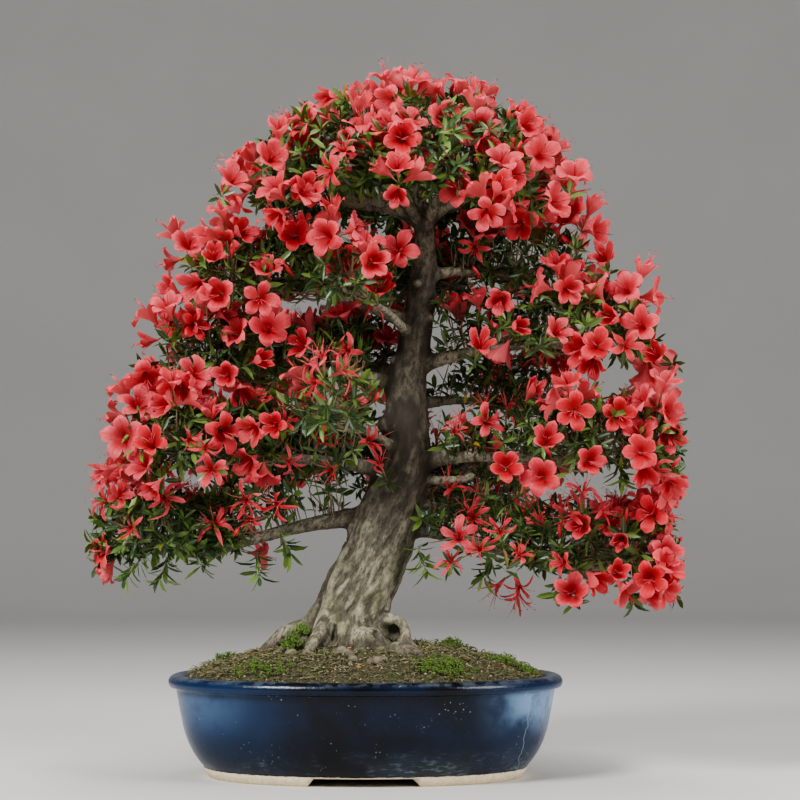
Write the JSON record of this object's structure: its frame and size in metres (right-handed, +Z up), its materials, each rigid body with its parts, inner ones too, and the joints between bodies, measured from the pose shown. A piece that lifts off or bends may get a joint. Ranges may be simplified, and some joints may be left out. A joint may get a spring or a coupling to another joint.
{
  "type": "potted bonsai azalea",
  "caption": "Old azalea bonsai with a thick leaning trunk, layered flowering branches and a domed crown, growing in an oval glazed pot.",
  "frame": {"origin": "centre of the bounding box at the height of the pot's feet", "axes": "+Z up, the front of the tree towards -Y, +X to the right of a person who faces the front"},
  "size_m": [0.6794, 0.4506, 0.8174],
  "materials": {
    "glaze": "glossy dark blue glaze with pale mineral marks, bare clay feet",
    "mesh": "matte",
    "soil": "granular, matte, with moss",
    "bark": "rough grey bark",
    "leaf": "satin leaf",
    "petal": "soft petal"
  },
  "bodies": {
    "root": {"blooms_back_1": "petal", "blooms_back_2": "petal", "blooms_back_3": "petal", "blooms_back_4": "petal", "blooms_crown_1": "petal", "blooms_crown_10": "petal", "blooms_crown_11": "petal", "blooms_crown_12": "petal", "blooms_crown_13": "petal", "blooms_crown_14": "petal", "blooms_crown_15": "petal", "blooms_crown_2": "petal", "blooms_crown_3": "petal", "blooms_crown_4": "petal", "blooms_crown_5": "petal", "blooms_crown_6": "petal", "blooms_crown_7": "petal", "blooms_crown_8": "petal", "blooms_crown_9": "petal", "blooms_front_left": "petal", "blooms_front_mid": "petal", "blooms_left_1_1": "petal", "blooms_left_1_2": "petal", "blooms_left_2_1": "petal", "blooms_left_2_2": "petal", "blooms_left_3_1": "petal", "blooms_left_3_2": "petal", "blooms_left_4_1": "petal", "blooms_left_4_2": "petal", "blooms_right_1_1": "petal", "blooms_right_1_2": "petal", "blooms_right_2_1": "petal", "blooms_right_2_2": "petal", "blooms_right_3": "petal", "blooms_right_4_1": "petal", "blooms_right_4_2": "petal", "blooms_right_5_1": "petal", "blooms_right_5_2": "petal", "drainage_mesh_left": "mesh", "drainage_mesh_right": "mesh", "foliage_back_1": "leaf", "foliage_back_2": "leaf", "foliage_back_3": "leaf", "foliage_back_4": "leaf", "foliage_crown": "leaf", "foliage_front_left": "leaf", "foliage_front_mid": "leaf", "foliage_left_1": "leaf", "foliage_left_2": "leaf", "foliage_left_3": "leaf", "foliage_left_4": "leaf", "foliage_right_1": "leaf", "foliage_right_2": "leaf", "foliage_right_3": "leaf", "foliage_right_4": "leaf", "foliage_right_5": "leaf", "pot": "glaze", "soil": "soil", "trunk_and_branches": "bark"}
  },
  "joints": []
}
